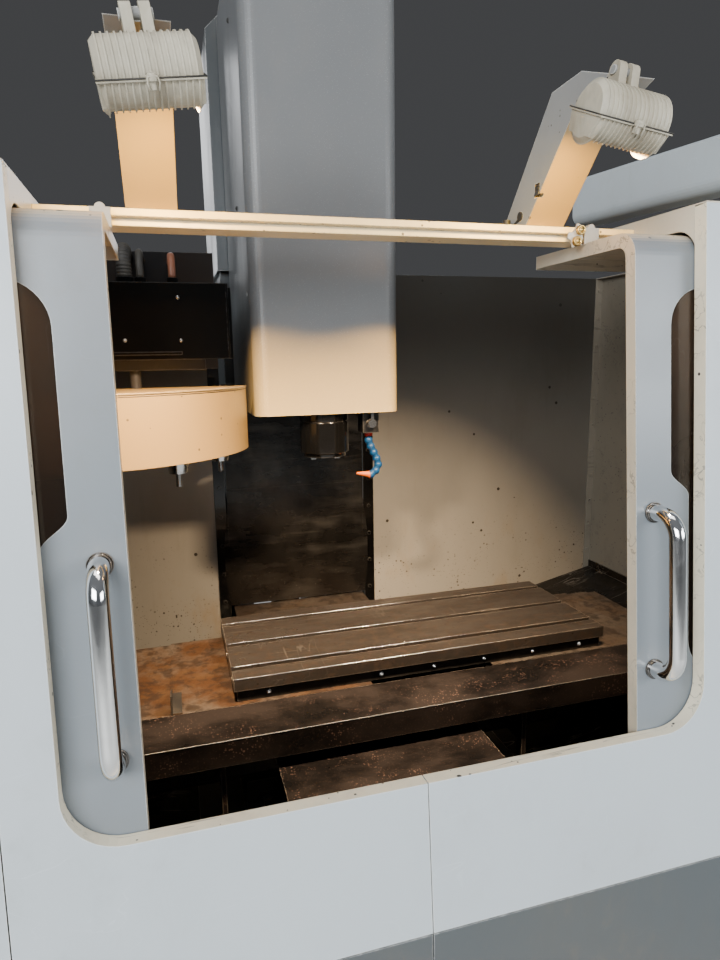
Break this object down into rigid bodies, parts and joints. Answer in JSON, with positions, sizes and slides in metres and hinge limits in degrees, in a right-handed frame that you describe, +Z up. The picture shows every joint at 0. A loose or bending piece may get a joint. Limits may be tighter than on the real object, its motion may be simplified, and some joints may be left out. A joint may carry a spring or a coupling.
{
  "type": "cnc machining center",
  "caption": "Vertical CNC machining center with a leaning sheet enclosure, sliding doors with windows and tube handles, T-slot table, carousel tool changer, work lamps and swing pendant.",
  "frame": {"origin": "on the floor under the middle of the whole machine's box", "axes": "+X to the operator's right along the table, +Y away from the operator, +Z up along the spindle"},
  "size_m": [2.508, 2.1956, 2.546],
  "materials": {
    "enclosure_paint": "satin powder coat, light grey-blue",
    "cream_paint": "satin, cream",
    "kick_paint": "satin, darker grey",
    "wall_paint": "satin off-white, specked with dirt",
    "column_paint": "satin grey",
    "head_paint": "satin grey",
    "base_paint": "painted casting",
    "casting_paint": "painted casting",
    "cabinet_paint": "satin powder coat",
    "tank_paint": "satin grey",
    "bracket_paint": "coarse textured grey",
    "lamp_arm_paint": "satin grey-cream",
    "pendant_paint": "satin grey",
    "pan_steel": "oily",
    "way_cover_steel": "dark, oily and scratched",
    "rusty_cover": "stained with rust and coolant",
    "table_iron": "ground, worn",
    "bright_steel": "ground",
    "dark_steel": "dark",
    "plate_aluminium": "machined",
    "motor_black": "satin black",
    "box_black": "satin black",
    "housing_black": "gloss black",
    "handle_chrome": "polished",
    "tinted_pane": "tinted polycarbonate",
    "lamp_plastic": "dirty off-white",
    "black_plastic": "satin",
    "red_plastic": "satin",
    "blue_plastic": "satin",
    "green_plastic": "satin"
  },
  "bodies": {
    "machine": {"base_casting": "base_paint", "levelling_feet": "dark_steel", "column_casting": "casting_paint", "column_cover": "column_paint", "chip_pan": "pan_steel", "front_panel_left": "enclosure_paint", "front_panel_right": "enclosure_paint", "kick_panels": "kick_paint", "side_panels": "enclosure_paint", "pocket_walls": "cream_paint", "back_walls": "wall_paint", "header_rail": "cream_paint", "z_cover_frame": "way_cover_steel", "guide_rails": "bright_steel", "axis_motors": "motor_black", "electrical_cabinet": "cabinet_paint", "coolant_tank": "tank_paint", "lamp_arms": "lamp_arm_paint", "changer_bracket": "bracket_paint", "air_panel": "dark_steel", "pendant_post": "cabinet_paint"},
    "saddle": {"saddle_casting": "casting_paint", "front_apron": "way_cover_steel", "saddle_covers": "rusty_cover"},
    "table": {"table": "table_iron", "table_covers": "rusty_cover"},
    "x_cover_pair": {"x_covers_mid": "rusty_cover"},
    "y_cover": {"y_cover_mid": "way_cover_steel"},
    "z_cover": {"z_cover_mid": "way_cover_steel"},
    "x_screw": {"x_ballscrew": "bright_steel"},
    "y_screw": {"y_ballscrew": "bright_steel"},
    "z_screw": {"z_ballscrew": "bright_steel"},
    "head": {"head_casting": "casting_paint", "head_cover": "head_paint", "spindle_housing": "housing_black", "z_cover_head": "way_cover_steel", "coolant_valve": "housing_black"},
    "spindle": {"spindle": "bright_steel"},
    "tap_lever": {"valve_lever": "red_plastic"},
    "nozzle": {"coolant_nozzle": "blue_plastic"},
    "changer_carriage": {"changer_shuttle": "bracket_paint", "changer_box": "box_black", "carousel_cover": "cream_paint"},
    "carousel": {"carousel": "plate_aluminium", "changer_tools": "bright_steel"},
    "door_left": {"left_door": "enclosure_paint", "left_window": "tinted_pane", "left_handle": "handle_chrome"},
    "door_right": {"right_door": "enclosure_paint", "right_window": "tinted_pane", "right_handle": "handle_chrome"},
    "lamp_left": {"lamp_head_left": "lamp_plastic"},
    "lamp_right": {"lamp_head_right": "lamp_plastic"},
    "rocker": {"lamp_switch": "black_plastic"},
    "pendant_arm": {"pendant_arm": "enclosure_paint"},
    "pendant": {"pendant": "pendant_paint"},
    "estop": {"estop_button": "red_plastic"},
    "cycle_start": {"cycle_start_button": "green_plastic"},
    "handwheel": {"jog_wheel": "black_plastic"},
    "cabinet_door": {"cabinet_door": "cabinet_paint"}
  },
  "joints": [
    {"name": "y_slide", "type": "slide", "parent": "machine", "child": "saddle", "axis": [0, 1, 0], "range_m": [0, 0.406]},
    {"name": "x_slide", "type": "slide", "parent": "saddle", "child": "table", "axis": [1, 0, 0], "range_m": [-0.539, 0.223]},
    {"name": "z_slide", "type": "slide", "parent": "machine", "child": "head", "axis": [0, 0, 1], "range_m": [-0.31, 0.198]},
    {"name": "x_covers_slide", "type": "slide", "parent": "saddle", "child": "x_cover_pair", "axis": [1, 0, 0], "range_m": [-0.2695, 0.1115]},
    {"name": "y_cover_slide", "type": "slide", "parent": "machine", "child": "y_cover", "axis": [0, 1, 0], "range_m": [0, 0.203]},
    {"name": "z_cover_slide", "type": "slide", "parent": "machine", "child": "z_cover", "axis": [0, 0, 1], "range_m": [-0.155, 0.099]},
    {"name": "x_screw_spin", "type": "hinge", "parent": "saddle", "child": "x_screw", "pos_m": [-0.089, -0.321, 0.674], "axis": [1, 0, 0], "continuous": true},
    {"name": "y_screw_spin", "type": "hinge", "parent": "machine", "child": "y_screw", "pos_m": [-0.089, -0.257, 0.544], "axis": [0, 1, 0], "continuous": true},
    {"name": "z_screw_spin", "type": "hinge", "parent": "machine", "child": "z_screw", "pos_m": [-0.089, 0.427, 1.6], "axis": [0, 0, 1], "continuous": true},
    {"name": "spindle_spin", "type": "hinge", "parent": "head", "child": "spindle", "pos_m": [-0.089, -0.118, 1.3], "axis": [0, 0, 1], "continuous": true},
    {"name": "tap_turn", "type": "hinge", "parent": "head", "child": "tap_lever", "pos_m": [0.028, -0.173, 1.344], "axis": [0, 1, 0], "range_deg": [0, 90]},
    {"name": "nozzle_swivel", "type": "hinge", "parent": "head", "child": "nozzle", "pos_m": [0.028, -0.137, 1.3], "axis": [0, 0, 1], "range_deg": [-60, 60]},
    {"name": "changer_slide", "type": "slide", "parent": "machine", "child": "changer_carriage", "axis": [1, 0, 0], "range_m": [0, 0.045]},
    {"name": "carousel_turn", "type": "hinge", "parent": "changer_carriage", "child": "carousel", "pos_m": [-0.659, -0.118, 1.4], "axis": [0, 0, 1], "continuous": true},
    {"name": "left_door_slide", "type": "slide", "parent": "machine", "child": "door_left", "axis": [1, 0, 0], "range_m": [-0.055, 0.467]},
    {"name": "right_door_slide", "type": "slide", "parent": "machine", "child": "door_right", "axis": [1, 0, 0], "range_m": [-0.456, 0.065]},
    {"name": "left_lamp_tilt", "type": "hinge", "parent": "machine", "child": "lamp_left", "pos_m": [-0.487, -0.837, 1.951], "axis": [0.989, 0.0311, 0.1444], "range_deg": [-25, 15]},
    {"name": "right_lamp_tilt", "type": "hinge", "parent": "machine", "child": "lamp_right", "pos_m": [0.25, -0.837, 1.951], "axis": [0.9926, 0.0347, -0.1167], "range_deg": [-25, 15]},
    {"name": "lamp_rocker", "type": "hinge", "parent": "machine", "child": "rocker", "pos_m": [0.243, -0.603, 1.829], "axis": [0, 1, 0], "range_deg": [-14, 0]},
    {"name": "pendant_arm_swing", "type": "hinge", "parent": "machine", "child": "pendant_arm", "pos_m": [0.956, -0.507, 1.95], "axis": [0, 0, 1], "range_deg": [-20, 60]},
    {"name": "pendant_swivel", "type": "hinge", "parent": "pendant_arm", "child": "pendant", "pos_m": [1.06638, -1.00491, 1.9], "axis": [0, 0, 1], "range_deg": [-80, 80]},
    {"name": "estop_press", "type": "slide", "parent": "pendant", "child": "estop", "axis": [-0.2164, 0.9763, 0], "range_m": [0, 0.006]},
    {"name": "cycle_start_press", "type": "slide", "parent": "pendant", "child": "cycle_start", "axis": [-0.2164, 0.9763, 0], "range_m": [0, 0.004], "stiffness_N_per_m": 400},
    {"name": "handwheel_turn", "type": "hinge", "parent": "pendant", "child": "handwheel", "pos_m": [1.20307, -0.97461, 1.59], "axis": [-0.2164, 0.9763, 0], "continuous": true},
    {"name": "cabinet_door_swing", "type": "hinge", "parent": "machine", "child": "cabinet_door", "pos_m": [0.299, 1.085, 1.16], "axis": [0, 0, 1], "range_deg": [-110, 0]}
  ],
  "couplings": [
    {"joint": "x_covers_slide", "follows": "x_slide", "ratio": 0.5},
    {"joint": "y_cover_slide", "follows": "y_slide", "ratio": 0.5},
    {"joint": "z_cover_slide", "follows": "z_slide", "ratio": 0.5},
    {"joint": "x_screw_spin", "follows": "x_slide", "rad_per_m": 628.32},
    {"joint": "y_screw_spin", "follows": "y_slide", "rad_per_m": 628.32},
    {"joint": "z_screw_spin", "follows": "z_slide", "rad_per_m": 628.32}
  ]
}
